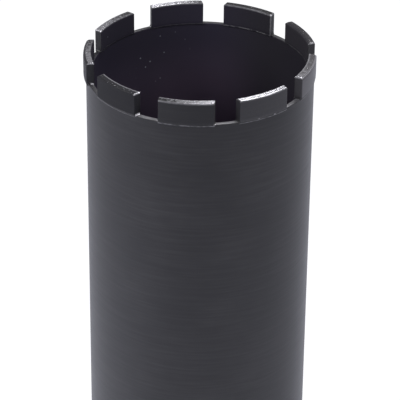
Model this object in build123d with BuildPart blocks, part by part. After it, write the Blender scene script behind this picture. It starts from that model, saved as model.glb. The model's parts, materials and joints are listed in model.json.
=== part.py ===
# Wet diamond core bit, 4 in (101.6 mm) across the crown, for holes up to 14 in (355.6 mm) deep.
# A thin-walled steel barrel carries nine sintered diamond segments, brazed to its front rim.
# A turned back plate closes the other end and holds a hub with a 1-1/4 in female thread.
# Z is the drilling axis. The bit stands crown up on the hub's face, which is at Z = 0.
# All sizes are in millimetres and all angles in degrees.

import os
from math import cos, radians, sin

from build123d import *

# Crown
crown_diameter = 101.6
segment_count = 9
segment_length = 24.0
segment_height = 10.0
segment_thickness = 3.4
segment_corner = 0.8
segment_edge = 0.3
first_segment_angle = -90.0

# Braze between the segments and the rim
braze_layer = 0.15
braze_leg = 0.5
braze_setback = 0.1

# Barrel
barrel_wall = 2.1
drilling_depth = 355.6

# Back plate: a flange flush with the barrel and a plug inside it
flange_height = 4.0
plug_height = 6.0
plate_edge = 1.0
plug_clearance = 0.05

# Threaded hub: a wrench grip outside the plate and a spigot through it
hub_diameter = 50.8
hub_height = 31.75
hub_edge = 1.0
hub_shoulder = 4.75
hub_collar = 6.75
wrench_size = 44.5
spigot_clearance = 0.05
thread_bore = 28.0
thread_mouth = 2.2

# Weld beads behind the barrel
barrel_weld_groove = 1.2
barrel_weld_rise = 0.3
hub_weld_leg = 5.0

# Radii that follow
crown_radius = crown_diameter / 2
core_radius = crown_radius - segment_thickness
overhang = (segment_thickness - barrel_wall) / 2
barrel_radius = crown_radius - overhang
barrel_bore_radius = barrel_radius - barrel_wall
plug_radius = barrel_bore_radius - plug_clearance
hub_radius = hub_diameter / 2
spigot_radius = hub_radius - hub_shoulder
plate_bore_radius = spigot_radius + spigot_clearance
thread_radius = thread_bore / 2

# Heights that follow
shoulder_z = hub_height + flange_height
plate_top_z = shoulder_z + plug_height
crown_z = plate_top_z + drilling_depth
seat_z = crown_z - segment_height
rim_z = seat_z - braze_layer
wrench_height = hub_height - hub_weld_leg - hub_collar


def side_plane(angle, height):
    """The upright plane through the axis that looks outwards at an angle, with Z up in it."""
    outward = (cos(radians(angle)), sin(radians(angle)), 0)
    sideways = (-sin(radians(angle)), cos(radians(angle)), 0)
    return Plane(origin=(0, 0, height), x_dir=sideways, z_dir=outward)


# Barrel: a plain tube with its back end bevelled for the weld
with BuildPart() as barrel:
    with BuildSketch(Plane.XY.offset(shoulder_z)):
        Circle(barrel_radius)
        Circle(barrel_bore_radius, mode=Mode.SUBTRACT)
    extrude(amount=rim_z - shoulder_z)
    chamfer(barrel.edges().group_by(Axis.Z)[0].sort_by(SortBy.RADIUS)[-1], barrel_weld_groove)
barrel.part.label = "barrel"

# Back plate: turned, with the other half of the weld's groove and a bore for the hub's spigot
with BuildPart() as back_plate:
    with BuildSketch(Plane.XZ):
        with BuildLine():
            Polyline(
                (plate_bore_radius, hub_height),
                (barrel_radius, hub_height),
                (barrel_radius, shoulder_z - barrel_weld_groove),
                (barrel_radius - barrel_weld_groove, shoulder_z),
                (plug_radius, shoulder_z),
                (plug_radius, plate_top_z),
                (plate_bore_radius, plate_top_z),
                close=True,
            )
        make_face()
    revolve(axis=Axis.Z)
    chamfer(back_plate.edges().group_by(Axis.Z)[0].sort_by(SortBy.RADIUS)[-1], plate_edge)
back_plate.part.label = "back_plate"

# Threaded hub: turned and bored right through for the water, then milled with two wrench flats
with BuildPart() as threaded_hub:
    with BuildSketch(Plane.XZ):
        with BuildLine():
            Polyline(
                (thread_radius + thread_mouth, 0),
                (hub_radius - hub_edge, 0),
                (hub_radius, hub_edge),
                (hub_radius, hub_height),
                (spigot_radius, hub_height),
                (spigot_radius, plate_top_z),
                (thread_radius, plate_top_z),
                (thread_radius, thread_mouth),
                close=True,
            )
        make_face()
    revolve(axis=Axis.Z)
    with BuildSketch():
        with GridLocations(wrench_size + hub_diameter, 0, 2, 1):
            Rectangle(hub_diameter, 2 * hub_diameter)
    extrude(amount=wrench_height, mode=Mode.SUBTRACT)
threaded_hub.part.label = "threaded_hub"

# Barrel weld: fills the groove between barrel and back plate and stands a little proud
with BuildPart() as barrel_weld:
    with BuildSketch(Plane.XZ):
        with BuildLine():
            Polyline(
                (barrel_radius, shoulder_z + barrel_weld_groove),
                (barrel_radius - barrel_weld_groove, shoulder_z),
                (barrel_radius, shoulder_z - barrel_weld_groove),
                (barrel_radius + barrel_weld_rise, shoulder_z),
                close=True,
            )
        make_face()
    revolve(axis=Axis.Z)
barrel_weld.part.label = "barrel_weld"

# Hub weld: a fillet in the corner between the hub and the back plate's outer face
with BuildPart() as hub_weld:
    with BuildSketch(Plane.XZ):
        with BuildLine():
            on_hub = (hub_radius, hub_height - hub_weld_leg)
            on_plate = (hub_radius + hub_weld_leg, hub_height)
            Polyline(on_hub, (hub_radius, hub_height), on_plate, close=True)
        make_face()
    revolve(axis=Axis.Z)
hub_weld.part.label = "hub_weld"

# Crown: each segment has parallel ends and faces curved to the crown, and stands proud of the
# barrel inside and out. Its braze is a thin layer on the rim that ends in a fillet all round.
crown = []
for number in range(1, segment_count + 1):
    angle = first_segment_angle + (number - 1) * 360 / segment_count
    side = side_plane(angle, seat_z)

    with BuildPart() as segment:
        with BuildSketch(side):
            Rectangle(segment_length, segment_height, align=(Align.CENTER, Align.MIN))
            fillet(vertices().group_by(Axis.Y)[-1], segment_corner)
        extrude(amount=crown_diameter)
        with BuildSketch(Plane.XY.offset(seat_z)):
            Circle(crown_radius)
            Circle(core_radius, mode=Mode.SUBTRACT)
        extrude(amount=segment_height, mode=Mode.INTERSECT)
        above_foot = segment.edges().filter_by(lambda edge: edge.center().Z > seat_z + segment_edge)
        chamfer(above_foot.filter_by(Axis(side.origin, side.z_dir), reverse=True), segment_edge)
    segment.part.label = f"segment_{number}"
    crown.append(segment)

    with BuildPart() as braze:
        with BuildSketch(side_plane(angle, rim_z)):
            with BuildLine():
                foot_end = segment_length / 2
                toe_end = foot_end + braze_leg
                Polyline(
                    (-toe_end, -braze_leg),
                    (toe_end, -braze_leg),
                    (toe_end, 0),
                    (foot_end, braze_layer + braze_leg),
                    (-foot_end, braze_layer + braze_leg),
                    (-toe_end, 0),
                    close=True,
                )
            make_face()
        extrude(amount=crown_diameter)
        with BuildSketch(Plane.XZ):
            with BuildLine():
                outer_toe = crown_radius - braze_setback
                inner_toe = core_radius + braze_setback
                Polyline(
                    (barrel_radius, rim_z - braze_leg),
                    (outer_toe, seat_z),
                    (barrel_radius, seat_z + braze_leg),
                    (barrel_bore_radius, seat_z + braze_leg),
                    (inner_toe, seat_z),
                    (barrel_bore_radius, rim_z - braze_leg),
                    close=True,
                )
            make_face()
        revolve(axis=Axis.Z, mode=Mode.INTERSECT)
        add(barrel.part, mode=Mode.SUBTRACT)
        add(segment.part, mode=Mode.SUBTRACT)
    braze.part.label = f"braze_{number}"
    crown.append(braze)

os.makedirs("parts", exist_ok=True)
for piece in [barrel, back_plate, threaded_hub, barrel_weld, hub_weld, *crown]:
    export_step(piece.part, f"parts/{piece.part.label}.step")
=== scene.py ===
import functools
import json
import math

import bmesh
import bpy
from mathutils import Matrix, Vector

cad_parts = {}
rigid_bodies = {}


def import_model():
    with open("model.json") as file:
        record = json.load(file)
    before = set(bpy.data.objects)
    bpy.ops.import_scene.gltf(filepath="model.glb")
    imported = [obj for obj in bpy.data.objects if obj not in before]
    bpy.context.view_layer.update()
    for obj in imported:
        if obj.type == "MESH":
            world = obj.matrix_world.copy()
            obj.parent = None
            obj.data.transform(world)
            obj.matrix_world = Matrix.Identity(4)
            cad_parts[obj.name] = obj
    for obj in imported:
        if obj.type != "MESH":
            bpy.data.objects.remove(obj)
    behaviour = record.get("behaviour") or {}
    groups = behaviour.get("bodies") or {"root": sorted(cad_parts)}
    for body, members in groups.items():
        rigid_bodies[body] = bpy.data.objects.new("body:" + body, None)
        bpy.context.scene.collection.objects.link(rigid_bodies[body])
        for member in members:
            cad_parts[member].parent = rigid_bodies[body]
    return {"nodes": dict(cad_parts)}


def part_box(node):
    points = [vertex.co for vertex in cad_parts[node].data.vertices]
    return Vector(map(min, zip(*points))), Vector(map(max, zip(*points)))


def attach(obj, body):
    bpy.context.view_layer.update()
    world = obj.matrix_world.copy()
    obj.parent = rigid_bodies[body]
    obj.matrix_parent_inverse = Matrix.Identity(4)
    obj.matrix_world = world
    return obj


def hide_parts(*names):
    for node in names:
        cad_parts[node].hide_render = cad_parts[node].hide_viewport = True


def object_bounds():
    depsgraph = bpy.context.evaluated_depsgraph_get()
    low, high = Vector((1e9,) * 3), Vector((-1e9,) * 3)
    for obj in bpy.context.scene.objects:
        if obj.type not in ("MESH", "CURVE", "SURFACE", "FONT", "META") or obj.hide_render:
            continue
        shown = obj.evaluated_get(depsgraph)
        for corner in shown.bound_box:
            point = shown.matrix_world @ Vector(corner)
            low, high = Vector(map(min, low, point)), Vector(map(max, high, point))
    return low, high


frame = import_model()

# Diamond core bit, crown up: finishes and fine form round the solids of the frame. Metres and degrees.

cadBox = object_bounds()
mm = 0.001
tiny = 1e-9  # nearer than this is the same place

# what the frame says
barrelLow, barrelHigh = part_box("barrel")
plateLow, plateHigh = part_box("back_plate")
hubLow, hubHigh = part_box("threaded_hub")
barrelWeldLow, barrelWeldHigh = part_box("barrel_weld")
hubWeldLow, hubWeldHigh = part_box("hub_weld")
frontLow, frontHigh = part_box("segment_1")  # this one looks along -Y

segmentCount = sum(name.startswith("segment_") for name in frame["nodes"])
crownRadius = -frontLow.y
barrelRadius = barrelHigh.x
hubRadius = hubHigh.y
crownHeight = frontHigh.z
seatHeight = frontLow.z
rimHeight = barrelHigh.z
shoulderHeight = barrelLow.z
print("frame read:", segmentCount, "segments, crown radius", round(crownRadius / mm, 2), "mm")


# Node trees

class Wire:  # one output socket that can stand in a sum, or a bare tree while it has no socket
    def __init__(self, tree, socket=None):
        self.tree = tree
        self.socket = socket

    def __getitem__(self, name):  # another output of the same node
        return Wire(self.tree, self.socket.node.outputs[name])

    def node(self, kind, settings=None, sockets=None, output=0):
        made = self.tree.nodes.new(kind)
        for name, value in (settings or {}).items():
            setattr(made, name, value)
        for name, value in (sockets or {}).items():
            entry = self.findSocket(made.inputs, name)
            if isinstance(value, Wire):
                self.tree.links.new(value.socket, entry)
            else:
                entry.default_value = value
        if not made.outputs:
            return Wire(self.tree)
        return Wire(self.tree, self.findSocket(made.outputs, output))

    def findSocket(self, sockets, name):
        if isinstance(name, int):
            return sockets[name]
        return next(socket for socket in sockets if name in (socket.identifier, socket.name))

    def maths(self, operation, first, second):
        return self.node("ShaderNodeMath", {"operation": operation}, {0: first, 1: second})

    def __add__(self, other):
        return self.maths("ADD", self, other)

    def __radd__(self, other):
        return self.maths("ADD", other, self)

    def __sub__(self, other):
        return self.maths("SUBTRACT", self, other)

    def __rsub__(self, other):
        return self.maths("SUBTRACT", other, self)

    def __mul__(self, other):
        return self.maths("MULTIPLY", self, other)

    def __rmul__(self, other):
        return self.maths("MULTIPLY", other, self)

    def __truediv__(self, other):
        return self.maths("DIVIDE", self, other)


def vectorMaths(operation, first, second, output="Vector"):
    return first.node("ShaderNodeVectorMath", {"operation": operation}, {0: first, 1: second}, output)


def scaled(vector, factor):
    return vector.node("ShaderNodeVectorMath", {"operation": "SCALE"}, {0: vector, "Scale": factor})


def mixed(factor, first, second):  # colours, by a mask
    return factor.node(
        "ShaderNodeMix",
        {"data_type": "RGBA"},
        {"Factor_Float": factor, "A_Color": first, "B_Color": second},
        "Result_Color",
    )


def ramp(value, low, high):  # from 0 at low to 1 at high, whichever of the two is greater
    return value.node(
        "ShaderNodeMapRange",
        {"interpolation_type": "SMOOTHSTEP"},
        {"Value": value, "From Min": low, "From Max": high},
    )


def larger(first, second):
    return first.maths("MAXIMUM", first, second)


def absolute(value):
    return value.maths("ABSOLUTE", value, 0.0)


def dot(first, second):
    return vectorMaths("DOT_PRODUCT", first, second, "Value")


def unit(vector):
    return vectorMaths("NORMALIZE", vector, (0.0, 0.0, 0.0))


def upOf(vector):
    return vector.node("ShaderNodeSeparateXYZ", None, {0: vector}, "Z")


def outwardFrom(place):  # the direction straight away from the axis
    return unit(vectorMaths("MULTIPLY", place, (1.0, 1.0, 0.0)))


def onSide(place, side, low, high):  # 1 on one side of the object, seen from the axis
    return ramp(dot(outwardFrom(place), side), low, high)


def speckle(place, scale, detail=2.0, stretch=(1.0, 1.0, 1.0)):
    stretched = place.node("ShaderNodeMapping", None, {"Vector": place, "Scale": stretch})
    sockets = {"Vector": stretched, "Scale": scale, "Detail": detail}
    return place.node("ShaderNodeTexNoise", None, sockets, "Fac")


def rings(place, scale, detail):  # lines round the axis, as a lathe or a grinding cup leaves on a flat face
    flat = vectorMaths("MULTIPLY", place, (1.0, 1.0, 0.0))
    radius = vectorMaths("LENGTH", flat, (0.0, 0.0, 0.0), "Value")
    sockets = {"W": radius, "Scale": scale, "Detail": detail}
    return radius.node("ShaderNodeTexNoise", {"noise_dimensions": "1D"}, sockets, "Fac")


def bumped(height):
    return height.node("ShaderNodeBump", None, {"Height": height, "Distance": 1.0, "Strength": 1.0})


def newMaterial(name):  # and the place on the object that its patterns read
    material = bpy.data.materials.new(name)
    material.use_nodes = True
    material.node_tree.nodes.clear()
    start = Wire(material.node_tree)
    return material, start, start.node("ShaderNodeTexCoord", output="Object")


def closeMaterial(shader):
    shader.node("ShaderNodeOutputMaterial", None, {"Surface": shader})


def coat(start, sockets):
    closeMaterial(start.node("ShaderNodeBsdfPrincipled", None, sockets))


def seatValue(start, name):  # a value that the mesh carries, in a finish
    return start.node("ShaderNodeAttribute", {"attribute_name": name}, None, "Fac")


# Paint and bare metal

paintLook = {
    "colour": (0.0062, 0.0059, 0.0085, 1.0),
    "dust": (0.036, 0.0345, 0.0385, 1.0),
    "dustLeast": 0.15,
    "dustClouds": 0.3,
    "dustLines": 0.4,
    "dustRange": (0.35, 0.95),
    "cloudScale": 45.0,
    # darker paint: real streaks on the ends, and painted shade where the segments and braze use it
    "dull": (0.0035, 0.0035, 0.0075, 1.0),
    # a lighter grey used as painted sheen
    "chalky": (0.060, 0.057, 0.064, 1.0),
    "roughness": 0.36,
    "roughnessSpread": 0.06,
    "roughnessLines": 0.10,
    "ior": 1.5,
    "lineHeight": 0.012 * mm,  # grinding lines of the tube, round it
    "lineFine": 2300.0,
    "lineFineStretch": (0.012, 0.012, 1.0),
    "lineCoarse": 950.0,
    "lineCoarseStretch": (0.05, 0.05, 1.0),
    "lineCoarseShare": 0.5,
    "plateLines": 0.6,  # share of them on the back plate
    "peelHeight": 0.010 * mm,  # skin of the paint
    "peelScale": 900.0,
}

insideLook = {  # the inner wall's colours over its own tone: painted light deeper in and on the rear, painted shade towards +X
    "facing": (-0.1, -0.6),
    # the inner wall's tone, lighter than the outside paint and partly painted light
    "thin": (0.0205, 0.0170, 0.0350, 1.0),
    "deep": (0.112, 0.083, 0.132, 1.0),  # painted light, lighter deeper down the bore
    "deepFrom": 14.0 * mm,
    "deepTo": 54.0 * mm,
    "deepShare": 0.55,
    "bareSide": (-0.06, 1.0, 0.0),  # painted light on this side of the inner wall
    "bareRange": (0.80, 1.0),
    "bareShare": 0.45,
    # painted shade on the +X side of the inner wall
    "thick": (0.0080, 0.0066, 0.0120, 1.0),
    "thickSide": (1.0, 0.0, 0.0),
    "thickRange": (-0.05, 0.60),
    "thickShare": 0.85,
    "roughness": 0.62,
    "fleck": (0.30, 0.31, 0.36, 1.0),
    "fleckScale": 300.0,
    "fleckRange": (0.13, 0.07),
    "fleckSieve": 260.0,
    "fleckSieveRange": (0.44, 0.56),
    "fleckRim": 0.6,  # share of a place's reach within which they are thickest
    "fleckPlaces": (  # where the flecks sit, and how far each place reaches
        ((-24.5 * mm, 41.0 * mm, 373.0 * mm), 17.0 * mm),
        ((-44.0 * mm, 18.0 * mm, 390.0 * mm), 9.0 * mm),
    ),
}

rimLook = {  # where the rim's paint has gone thin
    "side": (0.342, -0.940, 0.0),
    "sideRange": (0.10, 0.75),
    "sideShare": 0.46,
    "sideScale": 500.0,
    "share": 0.08,
    "scale": 700.0,
    "depth": 0.30 * mm,
    "fade": 0.25 * mm,
    "gloss": 0.10,
}

metalLook = {
    "colour": (0.55, 0.545, 0.585, 1.0),
    "pitted": (0.43, 0.425, 0.46, 1.0),
    "roughness": 0.20,
    "groundDepth": 0.16 * mm,  # how far below the crown's plane the paint is ground off
    "groundFull": 0.3,  # share of that depth above which none is left
    "grooveSlope": 1.0,  # tilt of the ground surface across its grooves
    "grooveScale": 21000.0,
}


def groundNormal(place, base, mask):  # circular grinding: the surface tilts towards and away from the axis
    groove = rings(place, metalLook["grooveScale"], 2.0)
    tilt = (groove - 0.5) * (2.0 * metalLook["grooveSlope"]) * mask
    return unit(vectorMaths("ADD", base, scaled(outwardFrom(place), tilt)))


def flecks(place):  # light specks in the inner wall's paint, thickest near the places listed
    sockets = {"Vector": place, "Scale": insideLook["fleckScale"]}
    cells = place.node("ShaderNodeTexVoronoi", {"feature": "F1"}, sockets, "Distance")
    near = []
    for centre, reach in insideLook["fleckPlaces"]:
        away = vectorMaths("DISTANCE", place, centre, "Value")
        near.append(ramp(away, reach, reach * insideLook["fleckRim"]))
    sieve = ramp(speckle(place, insideLook["fleckSieve"]), *insideLook["fleckSieveRange"])
    return ramp(cells, *insideLook["fleckRange"]) * functools.reduce(larger, near) * sieve


def insideColour(place):
    # painted light deeper in and on the rear, painted shade towards +X, over the inner wall's tone
    look = insideLook
    deep = ramp(upOf(place), crownHeight - look["deepFrom"], crownHeight - look["deepTo"])
    thick = onSide(place, look["thickSide"], *look["thickRange"])
    bare = onSide(place, look["bareSide"], *look["bareRange"])
    colour = mixed(deep * (look["deepShare"] + bare * look["bareShare"]), look["thin"], look["deep"])
    colour = mixed(thick * look["thickShare"], colour, look["thick"])
    return mixed(flecks(place), colour, look["fleck"])


def paintSurface(place, lines):  # colour, roughness and height of the paint
    look = paintLook
    cloud = speckle(place, look["cloudScale"], 3.0)
    fine = speckle(place, look["lineFine"], 2.0, look["lineFineStretch"])
    coarse = speckle(place, look["lineCoarse"], 3.0, look["lineCoarseStretch"])
    peel = speckle(place, look["peelScale"], 3.0)
    normal = place.node("ShaderNodeNewGeometry", output="Normal")
    inside = ramp(dot(normal, outwardFrom(place)), *insideLook["facing"])
    dust = cloud * look["dustClouds"] + coarse * look["dustLines"] + look["dustLeast"]
    colour = mixed(ramp(dust, *look["dustRange"]), look["colour"], look["dust"])
    colour = mixed(inside, colour, insideColour(place))
    roughness = look["roughness"] + (cloud - 0.5) * look["roughnessSpread"]
    roughness = roughness + (fine - 0.5) * (look["roughnessLines"] * lines)
    roughness = roughness + inside * (insideLook["roughness"] - roughness)
    height = (fine + coarse * look["lineCoarseShare"]) * (lines * look["lineHeight"])
    height = height + peel * look["peelHeight"]
    return colour, roughness, height


def paintedSteel(name, lines, wornFrom=None):  # wornFrom is the height above which the paint has gone thin
    material, start, place = newMaterial(name)
    colour, roughness, height = paintSurface(place, lines)
    worn = 0.0
    if wornFrom is not None:
        side = onSide(place, rimLook["side"], *rimLook["sideRange"])
        share = speckle(place, rimLook["scale"], 4.0) * rimLook["share"]
        share = share + side * (speckle(place, rimLook["sideScale"], 3.0) * rimLook["sideShare"])
        worn = ramp(upOf(place), wornFrom, wornFrom + rimLook["fade"]) * share
        colour = mixed(worn, colour, metalLook["colour"])
        roughness = roughness - worn * rimLook["gloss"]
    coat(start, {
        "Base Color": colour,
        "Metallic": worn,
        "Roughness": roughness,
        "IOR": paintLook["ior"],
        "Normal": bumped(height),
    })
    return material


# Finish of the segments

segmentLook = {
    "lines": 0.25,  # share of the tube's grinding lines
    "patchScale": 900.0,
    "mottleScale": 1500.0,
    "mottleHeight": 0.008 * mm,
    "mottleDust": 0.4,
    "mottleRange": (0.50, 0.80),
    "mottleRoughness": 0.10,
    "streakScale": 1600.0,
    "streakStretch": (1.0, 1.0, 0.16),
    "streakRange": (0.66, 0.36),
    "streakLeast": 0.35,
    "streakMatt": 0.5,
    "pitScale": 2600.0,
    "pitHeight": 0.006 * mm,
    "pitRange": (0.34, 0.62),
    "endFace": (0.8, 0.95),  # how far a face has to look along the crown, or up
    "upward": (0.55, 0.90),
    "endMatt": 0.5,
    "endChalk": 0.55,
    "mattShare": 0.6,
    "mattRoughness": 0.34,
    "endRoughness": 0.16,
    "topGloss": 0.12,
    "topWander": 0.06 * mm,
    "topGrooves": 0.04,  # share of the grooves that shows through the paint of a top
    "dressedGain": 1.4,
    "dressedWander": 0.9,
    "dressedRange": (0.35, 0.95),
    "innerStrip": (-0.45, -0.70),  # across the top, 1 is outside
    "outerStrip": (0.50, 0.75),
    "endStrip": (0.925, 0.97),  # along it
    "stripWander": 0.35,
    "stripRange": (0.10, 0.90),
    "stripFrom": 0.8 * mm,  # below the crown's plane
    "stripTo": 0.4 * mm,
    "edgeGain": 0.42,
    "edgeWander": 0.75,
    "edgeRange": (0.90, 1.08),
    "edgeShare": 0.5,
    "uprightAlong": (0.94, 0.98),
    "uprightAcross": (-0.80, -0.92),
}


def atOneEnd(start, name, along, low, high):  # a seat's value, at the end that its sign tells
    value = seatValue(start, name)
    towards = along * value.maths("SIGN", value, 0.0)
    return absolute(value) * ramp(towards, low, high)


def segmentFinish():  # painted sides, tops ground bare as far as each is dressed, bare worn edges
    look = segmentLook
    material, start, place = newMaterial("segmentMatrix")
    colour, roughness, height = paintSurface(place, look["lines"])
    along, across = seatValue(start, "along"), seatValue(start, "across")
    patches = speckle(place, look["patchScale"], 4.0)
    mottle = speckle(place, look["mottleScale"], 3.0)
    streaks = speckle(place, look["streakScale"], 3.0, look["streakStretch"])
    pits = speckle(place, look["pitScale"], 3.0)

    # paint: painted shade or painted sheen as each seat says, rougher sides where it is above 0, and darker
    # streaks on the ends
    normal = start.node("ShaderNodeNewGeometry", output="Normal")
    sideways = vectorMaths("CROSS_PRODUCT", outwardFrom(place), (0.0, 0.0, 1.0))
    endFace = ramp(absolute(dot(normal, sideways)), *look["endFace"])
    upward = ramp(upOf(normal), *look["upward"])
    matt = seatValue(start, "matt")
    matt = matt + endFace * (matt.maths("MINIMUM", matt, look["endMatt"]) - matt)
    streaked = endFace * ramp(streaks, *look["streakRange"])
    streaked = streaked * (look["streakLeast"] + matt * look["streakMatt"])
    dull = matt * look["mattShare"] + streaked
    colour = mixed(ramp(mottle, *look["mottleRange"]) * look["mottleDust"], colour, paintLook["dust"])
    # painted shade from each seat's value, and real darker streaks on the ends
    colour = mixed(dull, colour, paintLook["dull"])
    # painted sheen where a seat's value is below 0
    colour = mixed(matt * (endFace * look["endChalk"] - 1.0), colour, paintLook["chalky"])
    mattSides = (1.0 - upward) * larger(matt, 0.0)
    roughness = roughness + (mottle - 0.5) * look["mottleRoughness"] + mattSides * look["mattRoughness"]
    roughness = roughness + endFace * look["endRoughness"] - upward * look["topGloss"]

    # bare metal: the dressed top, strips along its edges, and specks wherever two faces meet
    depth = metalLook["groundDepth"]
    surface = upOf(place) + (patches - 0.5) * look["topWander"]
    top = ramp(surface, crownHeight - depth, crownHeight - metalLook["groundFull"] * depth)
    level = seatValue(start, "dressed") + seatValue(start, "dressedSlope") * along
    level = level * look["dressedGain"] + (patches - 0.5) * look["dressedWander"]
    strips = seatValue(start, "innerStrip") * ramp(across, *look["innerStrip"])
    strips = strips + seatValue(start, "outerStrip") * ramp(across, *look["outerStrip"])
    strips = strips + atOneEnd(start, "endStrip", along, *look["endStrip"])
    strips = ramp(strips + (patches - 0.5) * look["stripWander"], *look["stripRange"])
    strips = strips * ramp(upOf(place), crownHeight - look["stripFrom"], crownHeight - look["stripTo"])
    edges = seatValue(start, "edge") * look["edgeGain"] + patches * look["edgeWander"]
    edges = ramp(edges, *look["edgeRange"]) * look["edgeShare"]
    upright = atOneEnd(start, "upright", along, *look["uprightAlong"])
    upright = upright * ramp(across, *look["uprightAcross"])
    bare = larger(larger(strips, edges), top * ramp(level, *look["dressedRange"]))
    bare = larger(bare, upright)

    relief = bumped(height + pits * look["pitHeight"] + mottle * look["mottleHeight"])
    metal = mixed(ramp(pits, *look["pitRange"]), metalLook["pitted"], metalLook["colour"])
    grooves = top * (look["topGrooves"] + bare * (1.0 - look["topGrooves"]))
    coat(start, {
        "Base Color": mixed(bare, colour, metal),
        "Metallic": bare,
        "Roughness": roughness + bare * (metalLook["roughness"] - roughness),
        "IOR": paintLook["ior"],
        "Normal": groundNormal(place, relief, grooves),
    })
    return material


# Finish of the braze

brazeLook = {
    "colour": (0.73, 0.72, 0.76, 1.0),
    "patchScale": 500.0,
    "endAcross": (0.35, 0.75),  # where an end is bare near the axis only: across the wall, 1 is inside
    "endRange": (0.66, 0.74),
    "footRange": (0.36, 0.56),
    "footShare": 0.26,
    "quietRoughness": 0.3,
    "bareRoughness": 0.04,
    "runScale": 1400.0,
    "runHeight": 0.05 * mm,
}


def brazeFinish():  # silver braze under the same paint, bare where it stands highest
    look = brazeLook
    material, start, place = newMaterial("silverBraze")
    colour, roughness, height = paintSurface(place, 0.0)
    patches = speckle(place, look["patchScale"], 4.0)
    runs = speckle(place, look["runScale"], 2.0)
    inward = ramp(seatValue(start, "inward"), *look["endAcross"])
    end = seatValue(start, "end") * (1.0 + seatValue(start, "silverInside") * (inward - 1.0))
    outer = seatValue(start, "toe") * seatValue(start, "outerFoot")
    inner = seatValue(start, "innerToe") * seatValue(start, "innerFoot")
    foot = (outer + inner) * ramp(patches, *look["footRange"]) * look["footShare"]
    bare = larger(ramp(patches + end * seatValue(start, "silver"), *look["endRange"]), foot)
    # painted shade on the inner toe, where a seat's innerFoot is low
    shadedToe = seatValue(start, "innerToe") * (1.0 - seatValue(start, "innerFoot"))
    colour = mixed(shadedToe, colour, paintLook["dull"])
    roughness = roughness + shadedToe * look["quietRoughness"] + bare * look["bareRoughness"]
    coat(start, {
        "Base Color": mixed(bare, colour, look["colour"]),
        "Metallic": bare,
        "Roughness": roughness,
        "IOR": paintLook["ior"],
        "Normal": bumped(height + runs * look["runHeight"]),
    })
    return material


# Finishes of the hub and of the grit

hubLook = {
    "light": (0.52, 0.52, 0.53, 1.0),
    "dark": (0.42, 0.42, 0.43, 1.0),
    "stain": (0.24, 0.22, 0.20, 1.0),
    "stainShare": 0.7,
    "stainRange": (0.55, 0.80),
    "roughness": 0.30,
    "filmRoughness": 0.14,
    "stainRoughness": 0.12,
    "ringScale": 5200.0,
    "turnedScale": 2600.0,
    "turnedStretch": (0.03, 0.03, 1.0),
    "filmScale": 60.0,
    "stainScale": 140.0,
    "cutHeight": 0.012 * mm,
}

gritLook = {
    "dark": (0.20, 0.195, 0.21, 1.0),
    "light": (0.50, 0.49, 0.53, 1.0),
    "roughness": 0.16,
    "roughnessSpread": 0.2,
    "tintScale": 1500.0,
    "ior": 2.4,
}


def machinedSteel():  # turned and milled steel with a film of oil
    look = hubLook
    material, start, place = newMaterial("machinedSteel")
    cuts = rings(place, look["ringScale"], 3.0)
    turned = speckle(place, look["turnedScale"], 3.0, look["turnedStretch"])
    film = speckle(place, look["filmScale"], 4.0)
    stain = ramp(speckle(place, look["stainScale"], 5.0), *look["stainRange"])
    metal = mixed(film, look["dark"], look["light"])
    coat(start, {
        "Base Color": mixed(stain * look["stainShare"], metal, look["stain"]),
        "Metallic": 1.0,
        "Roughness": look["roughness"] + film * look["filmRoughness"] + stain * look["stainRoughness"],
        "Normal": bumped((cuts + turned) * look["cutHeight"]),
    })
    return material


def diamondFinish():  # the grit in the ground tops
    material, start, place = newMaterial("diamondGrit")
    tint = speckle(place, gritLook["tintScale"], 1.0)
    coat(start, {
        "Base Color": mixed(tint, gritLook["dark"], gritLook["light"]),
        "Roughness": gritLook["roughness"] + tint * gritLook["roughnessSpread"],
        "IOR": gritLook["ior"],
    })
    return material


barrelPaint = paintedSteel("barrelPaint", 1.0, rimHeight - rimLook["depth"])
weldPaint = paintedSteel("weldPaint", 0.0)
platePaint = paintedSteel("platePaint", paintLook["plateLines"])
segmentMatrix = segmentFinish()
silverBraze = brazeFinish()
hubMetal = machinedSteel()
diamondGrit = diamondFinish()
print("materials made")


# Meshes

def newObject(name, mesh):
    made = bpy.data.objects.new(name, mesh)
    bpy.context.scene.collection.objects.link(made)
    return made


def aroundAxis(radius, turn, height):
    return (radius * math.cos(turn), radius * math.sin(turn), height)


def carry(mesh, label, values, kind="FLOAT"):  # gives each point a value, for the finishes and the trees
    mesh.attributes.new(label, kind, "POINT").data.foreach_set("value", values)


def closedMesh(name, points, faces, sharpAngle=40.0, joined=0.0):  # joined is how near points become one
    mesh = bpy.data.meshes.new(name)
    mesh.from_pydata(points, [], faces)
    work = bmesh.new()
    work.from_mesh(mesh)
    if joined:
        bmesh.ops.remove_doubles(work, verts=work.verts, dist=joined)
    bmesh.ops.recalc_face_normals(work, faces=work.faces)
    work.to_mesh(mesh)
    work.free()
    mesh.shade_smooth()
    mesh.set_sharp_from_angle(angle=math.radians(sharpAngle))
    return mesh


def roundCorners(corners, steps=5, past=1.6):  # corners are (radius, height, rounding)
    outline = []
    for number, (r, z, rounding) in enumerate(corners):
        corner = Vector((r, z))
        if not rounding:
            outline.append(corner)
            continue
        before = (Vector(corners[number - 1][:2]) - corner).normalized()
        after = (Vector(corners[(number + 1) % len(corners)][:2]) - corner).normalized()
        half = before.angle(after) / 2
        setback = rounding / math.tan(half)
        centre = corner + (before + after).normalized() * (rounding / math.sin(half))
        start = (corner + before * setback - centre).normalized()
        end = (corner + after * setback - centre).normalized()
        outline.append(corner + before * setback * past)  # a point past each end keeps the flats shaded flat
        outline += [centre + start.slerp(end, step / steps) * rounding for step in range(steps + 1)]
        outline.append(corner + after * setback * past)
    return outline


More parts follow.
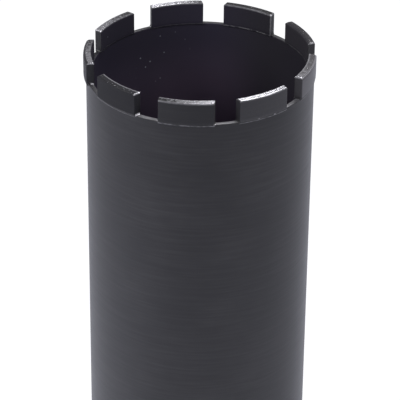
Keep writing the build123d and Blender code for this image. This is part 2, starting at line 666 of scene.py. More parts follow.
def gridFaces(columns, rows, wrapRows=True):
    faces = []
    for column in range(columns):
        start, following = column * rows, (column + 1) % columns * rows
        for row in range(rows if wrapRows else rows - 1):
            above = (row + 1) % rows
            faces.append((start + row, following + row, following + above, start + above))
    return faces


def lathe(name, outline, columns):
    points = []
    for column in range(columns):
        turn = 2 * math.pi * column / columns
        points += [aroundAxis(r, turn, z) for r, z in outline]
    return closedMesh(name, points, gridFaces(columns, len(outline)))


def newTree(name, entries):  # a Geometry Nodes tree with named inputs
    tree = bpy.data.node_groups.new(name, "GeometryNodeTree")
    tree.interface.new_socket("Geometry", in_out="INPUT", socket_type="NodeSocketGeometry")
    for label, kind, value in entries:
        entry = tree.interface.new_socket(label, in_out="INPUT", socket_type="NodeSocket" + kind)
        if value is not None:
            entry.default_value = value
    tree.interface.new_socket("Geometry", in_out="OUTPUT", socket_type="NodeSocketGeometry")
    return tree, Wire(tree).node("NodeGroupInput")


def carried(inputs, label, kind="FLOAT"):  # such a value, in a tree
    sockets = {"Name": label}
    return inputs.node("GeometryNodeInputNamedAttribute", {"data_type": kind}, sockets, "Attribute")


def closeTree(geometry, material):
    real = geometry.node("GeometryNodeRealizeInstances", None, {"Geometry": geometry})
    coated = real.node("GeometryNodeSetMaterial", None, {"Geometry": real, "Material": material})
    coated.node("NodeGroupOutput", None, {"Geometry": coated})


def grow(name, tree, mesh, sizes):  # runs a tree over a mesh and keeps the plain result
    source = newObject(name + "Source", mesh)
    modifier = source.modifiers.new("grow", "NODES")
    modifier.node_group = tree
    for item in tree.interface.items_tree:
        if item.in_out == "INPUT" and item.name in sizes:
            modifier[item.identifier] = sizes[item.name]
    graph = bpy.context.evaluated_depsgraph_get()
    result = bpy.data.meshes.new_from_object(source.evaluated_get(graph), depsgraph=graph)
    source.modifiers.clear()
    bpy.data.objects.remove(source)
    result.name = name
    return newObject(name, result)


def placePiece(piece, slotName, *nodes):
    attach(piece, "root")
    if nodes:
        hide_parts(*nodes)


# Barrel

barrelSizes = {
    "wall": 2.1 * mm,
    "rimRounding": 0.42 * mm,
    "bevel": shoulderHeight - barrelWeldLow.z,
    "columns": 360,
}

barrelBore = barrelRadius - barrelSizes["wall"]
barrelOutline = roundCorners([
    (barrelRadius, shoulderHeight + barrelSizes["bevel"], 0),
    (barrelRadius, rimHeight, barrelSizes["rimRounding"]),
    (barrelBore, rimHeight, barrelSizes["rimRounding"]),
    (barrelBore, shoulderHeight, 0),
    (barrelRadius - barrelSizes["bevel"], shoulderHeight, 0),
])
barrel = newObject("barrelTube", lathe("barrelTube", barrelOutline, barrelSizes["columns"]))
barrel.data.materials.append(barrelPaint)
placePiece(barrel, "black_paint", "barrel")
print("barrel made")


# Segments

segmentSizes = {
    "length": frontHigh.x - frontLow.x,
    "height": crownHeight - seatHeight,
    "thickness": 3.4 * mm,
    "edgeRounding": 0.22 * mm,
    "edgeMiddle": 0.41,  # where the middle row of an edge starts out, in roundings
    "edgeReach": 1.5,  # how far from an edge it counts as one, in roundings
    "cornersBefore": (0.5, 0.5, 0.4, 0.6, 0.4, 0.4, 0.9, 1.0, 1.3),  # mm, top corners at the two ends
    "cornersAfter": (0.3, 0.35, 0.9, 1.1, 0.45, 0.4, 0.4, 0.5, 0.5),
    "innerEdges": (0.26, 0.85, 0.24, 1.15, 0.40, 0.24, 0.30, 0.30, 0.24),  # mm, rounding of the top across
    "outerEdges": (0.24, 0.24, 1.20, 1.10, 0.45, 0.24, 0.50, 1.60, 0.60),
    "unevenness": 0.07 * mm,
    "unevenScale": 260.0,
    "seed": 3.0,
    "cells": (22, 6, 8),  # of each blank's mesh, between its edges
    "firstAngle": -90.0,
    "turns": (0.0, 0.0, 0.0, 0.0, -0.5, 0.0, 0.5, -1.0, 0.0),  # how far each seat is off its even place
    "shifts": (0.0, 0.0, 0.0, 0.45 * mm, 0.0, 0.0, 0.0, 0.5 * mm, 0.0),
    "dressed": (0.55, 1.0, 0.30, 0.14, 0.02, 0.66, 0.42, 0.44, 0.0),  # how far the paint is off each top
    "dressedSlope": (0.42, 0.0, -0.12, -0.16, 0.0, 0.30, 0.12, 0.16, 0.08),  # and how that grows along it
    "innerStrip": (0.90, 0.35, 0.50, 0.0, 0.34, 0.30, 0.35, 0.30, 1.0),  # bareness of the top's inner edge
    "outerStrip": (0.36, 0.30, 0.75, 0.0, 0.0, 0.60, 0.25, 0.0, 0.0),
    "endStrip": (0.0, 0.0, -1.0, -0.42, -0.4, 0.0, 0.42, 0.5, 0.55),  # and at one end, which the sign tells
    "upright": (0.0, 0.0, 0.0, 0.0, -0.5, 0.0, 0.0, 0.0, 0.0),  # and down the inner corner of that end
    "matt": (0.8, -0.25, -1.0, -0.2, 0.1, 0.1, 0.3, 0.5, 1.4),  # rougher and darker paint above 0, the darkening painted shade; painted sheen below 0
    "silver": (0.10, 0.06, 0.02, 0.02, 0.04, 0.04, 0.06, 0.60, 0.23),  # bareness of the braze at one end
    "silverInside": (0.0, 0.0, 0.0, 0.0, 0.0, 0.0, 0.0, 1.0, 0.0),  # 1 where that is only near the axis
    "outerFoot": (0.9, 0.6, 0.5, 0.2, 0.2, 0.2, 0.2, 0.3, 0.35),  # bareness of the braze along each side
    # where this is low, the braze's inner toe gets painted shade
    "innerFoot": (0.3, 0.3, 0.3, 0.25, 0.75, 0.15, 0.0, 0.3, 0.3),
}


def spread(length, band, corners, cells):  # places along a side, close together near its ends
    half = length / 2
    ends = []
    for corner in corners:
        near = [0.0, segmentSizes["edgeMiddle"] * band, band]
        near += [band + (corner - band) * step / 4 for step in (1, 2, 3, 4)] if corner > band else []
        ends.append(near)
    start, stop = -half + ends[0][-1], half - ends[1][-1]
    middle = [start + (stop - start) * step / cells for step in range(1, cells)]
    return [-half + x for x in ends[0]] + middle + [half - x for x in reversed(ends[1])]


def boxSurface(along, across, up):  # the six faces of a gridded box, as points and faces without doubles
    index, points, faces = {}, [], []

    def corner(a, b, c):
        key = (a, b, c)
        if key not in index:
            index[key] = len(points)
            points.append((along[a], across[b], up[c]))
        return index[key]

    counts = (len(along), len(across), len(up))
    for axis in range(3):
        first, second = [other for other in range(3) if other != axis]
        for side in (0, counts[axis] - 1):
            for i in range(counts[first] - 1):
                for j in range(counts[second] - 1):
                    face = []
                    for di, dj in ((0, 0), (1, 0), (1, 1), (0, 1)):
                        place = [0, 0, 0]
                        place[axis], place[first], place[second] = side, i + di, j + dj
                        face.append(corner(*place))
                    faces.append(tuple(face))
    return points, faces


def roundEdges(point, halves, rounding):  # pushes a box's surface in, so that its edges become round
    inner = [max(-half + rounding, min(half - rounding, x)) for x, half in zip(point, halves)]
    away = [x - y for x, y in zip(point, inner)]
    reach = math.sqrt(sum(x * x for x in away))
    if reach < tiny:
        return point
    return [y + x * rounding / reach for x, y in zip(away, inner)]


def roundTop(point, halves, corners, axis):  # rounds the two corners of the top that lie along this axis
    rounding = corners[1] if point[axis] > 0 else corners[0]
    inner = max(-halves[axis] + corners[0], min(halves[axis] - corners[1], point[axis]))
    innerZ = min(halves[2] - rounding, point[2])
    dx, dz = point[axis] - inner, point[2] - innerZ
    if abs(dx) < tiny or abs(dz) < tiny:
        return point
    keep = max(abs(dx), abs(dz)) / math.hypot(dx, dz)
    rounded = list(point)
    rounded[axis], rounded[2] = inner + dx * keep, innerZ + dz * keep
    return rounded


def segmentBlank(name, corners, topEdges):
    halves = [segmentSizes["length"] / 2, segmentSizes["thickness"] / 2, segmentSizes["height"] / 2]
    edge = segmentSizes["edgeRounding"]
    cells = segmentSizes["cells"]
    box, faces = boxSurface(
        spread(2 * halves[0], edge, corners, cells[0]),
        spread(2 * halves[1], edge, topEdges, cells[1]),
        spread(2 * halves[2], edge, (edge, max(corners)), cells[2]),
    )
    points, values = [], {"edge": [], "along": [], "across": []}
    for point in box:
        near = [abs(x) > half - segmentSizes["edgeReach"] * edge for x, half in zip(point, halves)]
        rounded = roundTop(roundEdges(point, halves, edge), halves, corners, 0)
        rounded = roundTop(rounded, halves, topEdges, 1)
        radius = crownRadius - halves[1] + rounded[1]
        outward = math.sqrt(radius ** 2 - rounded[0] ** 2)
        points.append((outward, rounded[0], seatHeight + halves[2] + rounded[2]))
        values["edge"].append(1.0 if sum(near) > 1 else 0.0)
        values["along"].append(point[0] / halves[0])
        values["across"].append(point[1] / halves[1])
    mesh = closedMesh(name, points, faces, sharpAngle=180.0)
    for label, shares in values.items():
        carry(mesh, label, shares)
    return mesh


seatLabels = (
    "dressed", "dressedSlope", "innerStrip", "outerStrip", "endStrip", "upright", "matt",
    "silver", "silverInside", "outerFoot", "innerFoot",
)


def seatMesh(name, picks):  # one point for each seat of the crown, with its turn and its blank
    turns, points = [], []
    for number in range(segmentCount):
        turn = math.radians(
            segmentSizes["firstAngle"] + number * 360 / segmentCount + segmentSizes["turns"][number]
        )
        turns.append(turn)
        points.append(aroundAxis(segmentSizes["shifts"][number], turn, 0.0))
    mesh = bpy.data.meshes.new(name)
    mesh.from_pydata(points, [], [])
    carry(mesh, "turn", turns)
    carry(mesh, "blank", list(picks), "INT")
    for label in seatLabels:
        carry(mesh, label, segmentSizes[label])
    return mesh


def crownTree():  # blanks from a collection, set round the crown and made a little uneven
    tree, inputs = newTree("crownRing", [
        ("Blanks", "Collection", None),
        ("Unevenness", "Float", 0.0),
        ("Scale", "Float", 200.0),
        ("Seed", "Float", 0.0),
        ("Material", "Material", None),
    ])
    blanks = inputs.node(
        "GeometryNodeCollectionInfo", None,
        {"Collection": inputs["Blanks"], "Separate Children": True, "Reset Children": True},
    )
    angles = inputs.node("ShaderNodeCombineXYZ", None, {"Z": carried(inputs, "turn")})
    rotation = angles.node("FunctionNodeEulerToRotation", None, {0: angles})
    placed = inputs.node(
        "GeometryNodeInstanceOnPoints", None,
        {
            "Points": inputs["Geometry"], "Instance": blanks, "Pick Instance": True,
            "Instance Index": carried(inputs, "blank", "INT"), "Rotation": rotation,
        },
    )
    real = placed.node("GeometryNodeRealizeInstances", None, {"Geometry": placed})
    position = real.node("GeometryNodeInputPosition")
    cloud = position.node(
        "ShaderNodeTexNoise",
        {"noise_dimensions": "4D"},
        {"Vector": position, "W": inputs["Seed"], "Scale": inputs["Scale"], "Detail": 3.0},
        "Color",
    )
    offset = scaled(vectorMaths("SUBTRACT", cloud, (0.5, 0.5, 0.5)), inputs["Unevenness"])
    uneven = real.node("GeometryNodeSetPosition", None, {"Geometry": real, "Offset": offset})
    closeTree(uneven, inputs["Material"])
    return tree


def blankCollection(name, meshes):
    collection = bpy.data.collections.new(name)
    for mesh in meshes:
        collection.objects.link(bpy.data.objects.new(mesh.name, mesh))
    return collection


def clearCollection(collection):
    for item in list(collection.objects):
        bpy.data.objects.remove(item)
    bpy.data.collections.remove(collection)


ringTree = crownTree()
segmentBlanks = blankCollection("segmentBlanks", [
    segmentBlank(
        f"segmentBlank{number}",
        (segmentSizes["cornersBefore"][number] * mm, segmentSizes["cornersAfter"][number] * mm),
        (segmentSizes["innerEdges"][number] * mm, segmentSizes["outerEdges"][number] * mm),
    )
    for number in range(segmentCount)
])
segments = grow("crownSegments", ringTree, seatMesh("segmentSeats", range(segmentCount)), {
    "Blanks": segmentBlanks,
    "Unevenness": segmentSizes["unevenness"],
    "Scale": segmentSizes["unevenScale"],
    "Seed": segmentSizes["seed"],
    "Material": segmentMatrix,
})
clearCollection(segmentBlanks)
placePiece(segments, "diamond_matrix", *[f"segment_{number + 1}" for number in range(segmentCount)])
print("segments made:", len(segments.data.polygons), "faces")


# Diamond grit

gritSizes = {
    "perSquareMetre": 4.0e5,
    "smallest": 0.10 * mm,
    "largest": 0.21 * mm,
    "proud": 0.035 * mm,
    "sunk": 0.93,  # share of a crystal's half width below that
    "faceWidth": 0.45,  # of the cut faces against a crystal's half width
    "upward": 0.97,  # how far a face has to look up to hold grit
    "turn": 6.283,  # any way round
    "seed": 11,
}


def gritMesh():  # a cut octahedron, the common form of a synthetic diamond
    mesh = bpy.data.meshes.new("gritBlank")
    work = bmesh.new()
    width = gritSizes["faceWidth"]
    for a, b in ((1.0, width), (1.0, -width), (-1.0, width), (-1.0, -width)):
        for first in range(3):
            for second in ((first + 1) % 3, (first + 2) % 3):
                point = [0.0, 0.0, 0.0]
                point[first], point[second] = a, b
                work.verts.new(point)
    bmesh.ops.convex_hull(work, input=work.verts)
    bmesh.ops.dissolve_limit(work, angle_limit=0.02, verts=work.verts, edges=work.edges)
    bmesh.ops.recalc_face_normals(work, faces=work.faces)
    work.to_mesh(mesh)
    work.free()
    return mesh


def gritTree():
    tree, inputs = newTree("gritScatter", [
        ("Crystal", "Object", None),
        ("Density", "Float", 1.0),
        ("Smallest", "Float", 0.0),
        ("Largest", "Float", 0.0),
        ("Proud", "Float", 0.0),
        ("Seed", "Int", 5),
        ("Material", "Material", None),
    ])
    crystal = inputs.node("GeometryNodeObjectInfo", None, {"Object": inputs["Crystal"]}, "Geometry")
    facing = inputs.node(
        "FunctionNodeCompare",
        {"data_type": "FLOAT", "operation": "GREATER_THAN"},
        {0: upOf(inputs.node("GeometryNodeInputNormal")), 1: gritSizes["upward"]},
    )
    scattered = inputs.node(
        "GeometryNodeDistributePointsOnFaces",
        {"distribute_method": "RANDOM"},
        {
            "Mesh": inputs["Geometry"], "Selection": facing,
            "Density": inputs["Density"], "Seed": inputs["Seed"],
        },
        "Points",
    )
    size = inputs.node(
        "FunctionNodeRandomValue",
        {"data_type": "FLOAT"},
        {"Min_001": inputs["Smallest"], "Max_001": inputs["Largest"], "Seed": inputs["Seed"]},
        "Value_001",
    )
    spin = inputs.node(
        "FunctionNodeRandomValue",
        {"data_type": "FLOAT_VECTOR"},
        {"Min": (0.0, 0.0, 0.0), "Max": (gritSizes["turn"],) * 3, "Seed": inputs["Seed"] + 1},
        "Value",
    )
    sunk = inputs.node("ShaderNodeCombineXYZ", None, {"Z": inputs["Proud"] - size * gritSizes["sunk"]})
    lowered = scattered.node("GeometryNodeSetPosition", None, {"Geometry": scattered, "Offset": sunk})
    rotation = spin.node("FunctionNodeEulerToRotation", None, {0: spin})
    placed = lowered.node(
        "GeometryNodeInstanceOnPoints", None,
        {"Points": lowered, "Instance": crystal, "Rotation": rotation, "Scale": size},
    )
    closeTree(placed, inputs["Material"])
    return tree


gritBlank = bpy.data.objects.new("gritBlank", gritMesh())
grit = grow("diamondGrit", gritTree(), segments.data.copy(), {
    "Crystal": gritBlank,
    "Density": gritSizes["perSquareMetre"],
    "Smallest": gritSizes["smallest"],
    "Largest": gritSizes["largest"],
    "Proud": gritSizes["proud"],
    "Seed": gritSizes["seed"],
    "Material": diamondGrit,
})
bpy.data.objects.remove(gritBlank)
placePiece(grit, "diamond_matrix")
print("grit made:", len(grit.data.polygons), "faces")


# Braze

brazeSizes = {
    "leg": 0.5 * mm,
    "layer": seatHeight - rimHeight,
    "overhang": 0.61 * mm,
    "climb": 0.5 * mm,
    "alongCells": 60,
    "acrossCells": 12,
    "cornerCells": 6,
    "bulge": 0.13 * mm,  # past the segment's face, inside the crown
    "bulgeFrom": 0.5 * mm,
    "farEnd": 0.25,  # bareness of one end against the other's
    "toe": (0.0, 0.2, 1.0, 1.0, 0.1, 0.0, 0.0),  # where the section shows bare braze, outside
    "innerToe": (0.0, 0.0, 0.0, 0.2, 0.7, 0.9, 0.0),  # and inside
    "unevenness": 0.22 * mm,
    "unevenScale": 420.0,
    "seed": 8.0,
}


def brazePath():  # round the segment's foot: (along, radius, degrees that it faces, how far it is an end)
    half = segmentSizes["length"] / 2
    corners = [
        (-half, barrelRadius, half, barrelRadius, 90.0),
        (half, barrelRadius, half, barrelBore, 0.0),
        (half, barrelBore, -half, barrelBore, -90.0),
        (-half, barrelBore, -half, barrelRadius, -180.0),
    ]
    path = []
    for x0, r0, x1, r1, facing in corners:
        isEnd = x0 == x1
        cells = brazeSizes["acrossCells" if isEnd else "alongCells"]
        for cell in range(cells + 1):
            share = cell / cells
            path.append((x0 + (x1 - x0) * share, r0 + (r1 - r0) * share, facing, 1.0 if isEnd else 0.0))
        for cell in range(1, brazeSizes["cornerCells"]):
            share = cell / brazeSizes["cornerCells"]
            path.append((x1, r1, facing - 90.0 * share, share if not isEnd else 1.0 - share))
    return path


def brazeBlank(name):
    leg, layer, overhang, climb = (brazeSizes[key] for key in ("leg", "layer", "overhang", "climb"))
    sideSection = [  # each point is how far out from the barrel and how far above the rim
        (-0.3 * mm, -leg), (0.0, -1.95 * leg), (0.27 * mm, -1.70 * leg), (0.49 * mm, -1.20 * leg),
        (0.60 * mm, -0.30 * leg), (overhang, layer), (overhang - 0.1 * mm, layer + 0.1 * mm),
    ]
    endSection = [  # and out from the segment's end
        (leg, -0.1 * mm), (leg, 0.0), (0.62 * leg, 0.10 * leg), (0.34 * leg, 0.30 * leg),
        (0.13 * leg, 0.66 * leg), (0.0, layer + climb), (-0.1 * mm, layer + climb),
    ]
    path = brazePath()
    rows = len(sideSection)
    points, values = [], {"end": [], "inward": [], "toe": [], "innerToe": []}
    for along, radius, facing, endShare in path:
        values["end"] += [endShare * (1.0 if along > 0 else brazeSizes["farEnd"])] * rows
        values["inward"] += [(barrelRadius - radius) / barrelSizes["wall"]] * rows
        for label, isHere in (("toe", radius != barrelBore), ("innerToe", radius == barrelBore)):
            values[label] += [share * (1.0 - endShare) * isHere for share in brazeSizes[label]]
        turn = math.radians(facing)
        for (sideOut, sideUp), (endOut, endUp) in zip(sideSection, endSection):
            out = sideOut + (endOut - sideOut) * endShare
            if radius == barrelBore and sideOut > brazeSizes["bulgeFrom"]:
                out += brazeSizes["bulge"] * (1.0 - endShare)
            up = sideUp + (endUp - sideUp) * endShare
            x = along + out * math.cos(turn)
            r = radius + out * math.sin(turn)
            points.append((math.sqrt(r ** 2 - x ** 2), x, rimHeight + up))
    faces = gridFaces(len(path), rows, wrapRows=False)
    faces.append(tuple(column * rows for column in range(len(path))))
    faces.append(tuple(column * rows + rows - 1 for column in range(len(path))))
    mesh = closedMesh(name, points, faces, sharpAngle=75.0)
    for label, shares in values.items():
        carry(mesh, label, shares)
    return mesh


brazeBlanks = blankCollection("brazeBlanks", [brazeBlank("brazeBlank")])
braze = grow("brazeBeads", ringTree, seatMesh("brazeSeats", [0] * segmentCount), {
    "Blanks": brazeBlanks,
    "Unevenness": brazeSizes["unevenness"],
    "Scale": brazeSizes["unevenScale"],
    "Seed": brazeSizes["seed"],
    "Material": silverBraze,
})
clearCollection(brazeBlanks)
placePiece(braze, "silver_braze", *[f"braze_{number + 1}" for number in range(segmentCount)])
print("braze made:", len(braze.data.polygons), "faces")


# Back plate

plateSizes = {
    "bore": 20.7 * mm,
    "plug": 48.0 * mm,
    "edge": 0.9 * mm,
    "plugEdge": 0.4 * mm,
    "boreEdge": 0.2 * mm,
    "columns": 256,
}

plateOutline = roundCorners([
    (plateSizes["bore"], plateLow.z, 0),
    (barrelRadius, plateLow.z, plateSizes["edge"]),
    (barrelRadius, barrelWeldLow.z, 0),
    (barrelRadius - barrelSizes["bevel"], shoulderHeight, 0),
    (plateSizes["plug"], shoulderHeight, 0),
    (plateSizes["plug"], plateHigh.z, plateSizes["plugEdge"]),
    (plateSizes["bore"], plateHigh.z, plateSizes["boreEdge"]),
])
plate = newObject("backPlate", lathe("backPlate", plateOutline, plateSizes["columns"]))
plate.data.materials.append(platePaint)
placePiece(plate, "black_paint", "back_plate")
print("back plate made")


# Hub

hubSizes = {
    "spigot": 20.65 * mm,
    "edge": 0.9 * mm,
    "spigotEdge": 0.3 * mm,
    "flatWidth": 44.5 * mm,
    "flatHeight": 20.0 * mm,
    "ledgeRows": (-0.25 * mm, 0.0, 0.01 * mm, 0.25 * mm),  # of the mesh, where the flats end
    "crest": 14.0 * mm,  # radii of the female thread
    "root": 15.875 * mm,
    "pitch": 25.4 / 7 * mm,
    "rootHalf": 0.0625,  # half a root's width and a flank's width, in pitches
    "flank": 0.3125,
    "mouth": 16.2 * mm,
    "rowsAPitch": 16,
    "columns": 192,
    "joined": 0.005 * mm,
}


def threadRadius(turn, height):  # flat crests and roots with straight flanks between them
    phase = (height / hubSizes["pitch"] - turn / (2 * math.pi)) % 1.0
    flank = min(1.0, max(0.0, (abs(phase - 0.5) - hubSizes["rootHalf"]) / hubSizes["flank"]))
    radius = hubSizes["root"] + (hubSizes["crest"] - hubSizes["root"]) * flank
    mouthCone = hubSizes["mouth"] - min(height, hubHigh.z - height)
    return max(radius, mouthCone)


def hubMesh():
    outline = roundCorners([
        (hubSizes["mouth"], hubLow.z, 0),
        (hubRadius, hubLow.z, hubSizes["edge"]),
        (hubRadius, plateLow.z, 0),
        (hubSizes["spigot"], plateLow.z, 0),
        (hubSizes["spigot"], hubHigh.z, hubSizes["spigotEdge"]),
        (hubSizes["mouth"], hubHigh.z, 0),
    ])
    flatHeight, halfFlat = hubSizes["flatHeight"], hubSizes["flatWidth"] / 2
    ledge = next(number for number, (r, z) in enumerate(outline) if z > flatHeight)
    outline[ledge:ledge] = [Vector((hubRadius, flatHeight + rise)) for rise in hubSizes["ledgeRows"]]
    columns, pitch, rowsAPitch = hubSizes["columns"], hubSizes["pitch"], hubSizes["rowsAPitch"]
    pitches = math.ceil(hubHigh.z / pitch)
    threadRows = (pitches + 1) * rowsAPitch  # rows that climb with the thread, cut off at both ends
    points, faces = [], []
    for column in range(columns):
        turn = 2 * math.pi * column / columns
        for r, z in outline:
            x, y, z = aroundAxis(r, turn, z)
            if z <= flatHeight:
                x = max(-halfFlat, min(halfFlat, x))
            points.append((x, y, z))
        for row in range(threadRows + 1):
            z = pitch * (pitches - row / rowsAPitch + column / columns)
            z = max(0.0, min(hubHigh.z, z))
            points.append(aroundAxis(threadRadius(turn, z), turn, z))
    rows = len(outline) + threadRows + 1
    for column in range(columns):
        start, following = column * rows, (column + 1) % columns * rows
        for row in range(rows - 1):
            isThread = row >= len(outline)
            if row == len(outline) - 1:
                continue
            back = rowsAPitch if isThread and following == 0 else 0
            low = max(row - back, len(outline) if isThread else 0)
            high = max(row + 1 - back, len(outline) if isThread else 0)
            faces.append((start + row, following + low, following + high, start + row + 1))
    return closedMesh("threadedHub", points, faces, sharpAngle=24.0, joined=hubSizes["joined"])


hub = newObject("threadedHub", hubMesh())
hub.data.materials.append(hubMetal)
placePiece(hub, "hub_steel", "threaded_hub")
print("hub made:", len(hub.data.polygons), "faces")


# Welds

weldSizes = {
    "columns": 720,
    "bow": 0.9,  # how far a ripple bows, in ripples
    "wander": 1.5,  # and how far it strays
    "wanderScale": 90.0,
    "even": 0.6,  # height of a ripple that is the bead's own
    "toePower": 0.6,  # how soon past a toe the ripples have their height
    "sunk": 0.02 * mm,  # a toe into the metal that it joins
    "barrelDepth": 1.2 * mm,
    "barrelRise": 0.24 * mm,
    "barrelSteps": 8,
    "barrelBead": {"Ripples": 170, "Depth": 0.06 * mm, "Wander": 0.08 * mm, "Seed": 2.0},
    "hubToe": 0.05 * mm,
    "hubDepth": 0.2 * mm,
    "hubRise": -0.35 * mm,
    "hubSteps": 12,
    "hubBead": {"Ripples": 96, "Depth": 0.22 * mm, "Wander": 0.3 * mm, "Seed": 6.0},
}


def weldTree():  # a bead turned round the axis, with the arched ripples of the torch's steps
    tree, inputs = newTree("weldRipples", [
        ("Ripples", "Float", 100.0),
        ("Depth", "Float", 0.0),
        ("Wander", "Float", 0.0),
        ("Seed", "Float", 0.0),
        ("Material", "Material", None),
    ])
    position = inputs.node("GeometryNodeInputPosition")
    axes = position.node("ShaderNodeSeparateXYZ", None, {0: position}, "X")
    turn = axes.maths("ARCTAN2", axes["Y"], axes)
    wander = position.node(
        "ShaderNodeTexNoise",
        {"noise_dimensions": "4D"},
        {"Vector": position, "W": inputs["Seed"], "Scale": weldSizes["wanderScale"], "Detail": 2.0},
        "Fac",
    )
    phase = turn * inputs["Ripples"] / (2 * math.pi) + carried(inputs, "bow") * weldSizes["bow"]
    phase = phase + wander * weldSizes["wander"]
    step = phase.maths("FRACT", phase, 0.0)
    arch = step * (1.0 - step) * 4.0
    normal = inputs.node("GeometryNodeInputNormal")
    lift = (arch - weldSizes["even"]) * inputs["Depth"] + (wander - 0.5) * inputs["Wander"]
    offset = scaled(normal, lift * carried(inputs, "cover"))
    sockets = {"Geometry": inputs["Geometry"], "Offset": offset}
    closeTree(inputs.node("GeometryNodeSetPosition", None, sockets), inputs["Material"])
    return tree


def weldMesh(name, section, hidden):  # the bead's face from toe to toe, and its buried corner
    outline, columns = [*section, hidden], weldSizes["columns"]
    points, bows, covers = [], [], []
    last = len(section) - 1
    for column in range(columns):
        turn = 2 * math.pi * column / columns
        for number, (r, z) in enumerate(outline):
            share = min(number / last, 1.0)
            points.append(aroundAxis(r, turn, z))
            bows.append(math.sin(math.pi * share))
            isFace = 0 < number < last
            covers.append(math.sin(math.pi * share) ** weldSizes["toePower"] if isFace else 0.0)
    mesh = closedMesh(name, points, gridFaces(columns, len(outline)), sharpAngle=70.0)
    carry(mesh, "bow", bows)
    carry(mesh, "cover", covers)
    return mesh


def archedSection(start, end, rise, steps):  # a shallow arch from toe to toe
    start, end = Vector(start), Vector(end)
    along = end - start
    out = Vector((along.y, -along.x)).normalized()
    shares = [step / steps for step in range(steps + 1)]
    return [start + along * share + out * (rise * 4 * share * (1 - share)) for share in shares]


def makeWeld(name, section, hidden, bead, node):
    mesh = weldMesh(name, section, Vector(hidden))
    placePiece(grow(name, rippleTree, mesh, {**bead, "Material": weldPaint}), "black_paint", node)


rippleTree = weldTree()
barrelToe = barrelRadius - weldSizes["sunk"]
makeWeld(
    "barrelWeldBead",
    archedSection(
        (barrelToe, barrelWeldLow.z), (barrelToe, barrelWeldHigh.z),
        weldSizes["barrelRise"], weldSizes["barrelSteps"],
    ),
    (barrelRadius - weldSizes["barrelDepth"], shoulderHeight),
    weldSizes["barrelBead"],
    "barrel_weld",
)
plateToe = (hubWeldHigh.x, plateLow.z + weldSizes["hubToe"])
hubToe = (hubRadius - weldSizes["sunk"], hubWeldLow.z)
makeWeld(
    "hubWeldBead",
    archedSection(plateToe, hubToe, weldSizes["hubRise"], weldSizes["hubSteps"]),
    (hubRadius - weldSizes["hubDepth"], plateLow.z + weldSizes["hubDepth"]),
    weldSizes["hubBead"],
    "hub_weld",
)
print("welds made")


# Camera

cameraView = {
    "azimuth": 6.711,
    "elevation": 27.009,
    "distance": 1.03367,
    "lens": 211.47,
    "aimTurn": -0.030,
    "aimDrop": -3.155,
    "roll": 0.591,
    "sensor": 36.0,
    "nearest": 0.05,
    "farthest": 60.0,
}

cameraData = bpy.data.cameras.new("camera")
cameraData.sensor_width = cameraView["sensor"]
cameraData.lens = cameraView["lens"]
cameraData.clip_start = cameraView["nearest"]
cameraData.clip_end = cameraView["farthest"]
camera = newObject("camera", cameraData)
azimuth, elevation = math.radians(cameraView["azimuth"]), math.radians(cameraView["elevation"])
back = Vector((
    math.sin(azimuth) * math.cos(elevation), -math.cos(azimuth) * math.cos(elevation), math.sin(elevation),
))
camera.location = Vector((0.0, 0.0, seatHeight)) + back * cameraView["distance"]
camera.rotation_euler = (
    Matrix.Rotation(azimuth + math.radians(cameraView["aimTurn"]), 3, "Z")
    @ Matrix.Rotation(math.pi / 2 - elevation + math.radians(cameraView["aimDrop"]), 3, "X")
    @ Matrix.Rotation(math.radians(cameraView["roll"]), 3, "Z")
).to_euler()
bpy.context.scene.camera = camera


# Floor, lamps and sky

studio = {
    "floorRadius": 9.0,
    "floorCorners": 64,
    "floorGap": 0.02 * mm,
    "floorColour": (0.770, 0.79, 0.90, 1.0),
    "floorClouds": (0.755, 0.77, 0.865, 1.0),
    "floorLevel": 1.15,
    "floorWhite": 0.80,  # share of plain white that the camera sees
    "glossyWhite": 0.10,  # and that reflections see: the lit floor shapes the barrel's shading
    "keyPower": 9.5,
    "keySize": 0.55,
    "keyDistance": 1.25,
    "keyAzimuth": 74.0,  # from +X towards +Y
    "keyElevation": 55.0,
    "fillHeight": 0.55,
    "fillReach": 0.42,  # from the axis
    "fillSize": 0.35,
    "leftPower": 2.7,
    "leftAzimuth": -150.0,
    "rightPower": 1.2,
    "rightAzimuth": -30.0,
    "sideSky": 0.42,
    "rearSky": 0.22,
    "rearHorizon": 0.85,
    "frontSky": 0.30,
    "topSky": 0.45,
    "rearRange": (0.1, 0.75),  # towards +Y
    "frontRange": (0.1, 0.9),  # towards -Y
    "topRange": (0.45, 1.0),
    "horizonRange": (0.14, 0.03),
    "whiteSky": 1.05,  # what the camera sees
    "skyColour": (0.985, 0.975, 1.0, 1.0),
}


def floorFinish():
    material, start, place = newMaterial("paleFloor")
    path = start.node("ShaderNodeLightPath")
    tint = mixed(speckle(place, 3.0), studio["floorColour"], studio["floorClouds"])
    matt = start.node("ShaderNodeBsdfDiffuse", None, {"Color": tint})
    white = {"Color": (1.0, 1.0, 1.0, 1.0), "Strength": studio["floorLevel"]}
    plain = start.node("ShaderNodeEmission", None, white)
    seen = (path["Is Camera Ray"] + path["Is Transmission Ray"]) * studio["floorWhite"]
    seen = seen + path["Is Glossy Ray"] * studio["glossyWhite"]
    closeMaterial(start.node("ShaderNodeMixShader", None, {0: seen, 1: matt, 2: plain}))
    return material


def makeFloor():
    corners, height = studio["floorCorners"], cadBox[0].z - studio["floorGap"]
    turns = [2 * math.pi * corner / corners for corner in range(corners)]
    mesh = bpy.data.meshes.new("floor")
    mesh.from_pydata(
        [aroundAxis(studio["floorRadius"], turn, height) for turn in turns], [], [tuple(range(corners))]
    )
    mesh.materials.append(floorFinish())
    floor = newObject("floor", mesh)


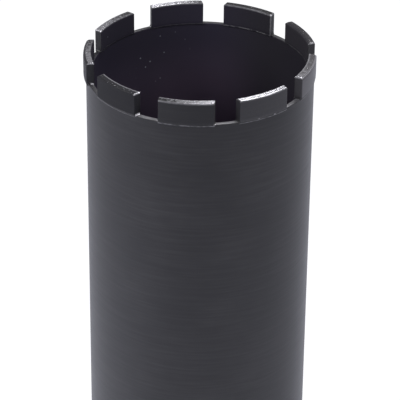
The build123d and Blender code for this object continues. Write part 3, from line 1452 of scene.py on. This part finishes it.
def makeLamp(name, power, size, distance, azimuth, elevation, target):
    data = bpy.data.lights.new(name, "AREA")
    data.energy = power
    data.size = size
    lamp = newObject(name, data)
    turn, rise = math.radians(azimuth), math.radians(elevation)
    direction = Vector((math.cos(turn) * math.cos(rise), math.sin(turn) * math.cos(rise), math.sin(rise)))
    lamp.location = Vector(target) + direction * distance
    lamp.rotation_euler = direction.to_track_quat("Z", "Y").to_euler()


def makeSky():
    world = bpy.data.worlds.new("studioSky")
    bpy.context.scene.world = world
    world.use_nodes = True
    world.node_tree.nodes.clear()
    start = Wire(world.node_tree)
    direction = start.node("ShaderNodeTexCoord", output="Generated")
    axes = direction.node("ShaderNodeSeparateXYZ", None, {0: direction})
    path = start.node("ShaderNodeLightPath")
    rear = ramp(axes["Y"], *studio["rearRange"])
    front = ramp(axes["Y"] * -1.0, *studio["frontRange"])
    high = ramp(axes["Z"], *studio["topRange"])
    horizon = rear * ramp(axes["Z"], *studio["horizonRange"])
    seen = path["Is Camera Ray"] + path["Is Transmission Ray"]
    seen = seen + path["Is Glossy Ray"] * studio["glossyWhite"]
    level = studio["sideSky"] + rear * (studio["rearSky"] - studio["sideSky"])
    level = level + front * (studio["frontSky"] - studio["sideSky"])
    level = level + high * (studio["topSky"] - level)
    level = level + horizon * (studio["rearHorizon"] - level)
    level = level + seen * (studio["whiteSky"] - level)
    sky = start.node("ShaderNodeBackground", None, {"Color": studio["skyColour"], "Strength": level})
    sky.node("ShaderNodeOutputWorld", None, {"Surface": sky})


makeFloor()
makeLamp(
    "keyLamp", studio["keyPower"], studio["keySize"], studio["keyDistance"],
    studio["keyAzimuth"], studio["keyElevation"], (0.0, 0.0, crownHeight),
)
for side in ("left", "right"):  # lamps that look straight down at the floor in front, either side
    foot = aroundAxis(studio["fillReach"], math.radians(studio[side + "Azimuth"]), 0.0)
    makeLamp(
        side + "Lamp", studio[side + "Power"], studio["fillSize"], studio["fillHeight"],
        studio[side + "Azimuth"], 90.0, foot,
    )
makeSky()
bpy.context.scene.view_settings.view_transform = "Standard"
print("studio made")
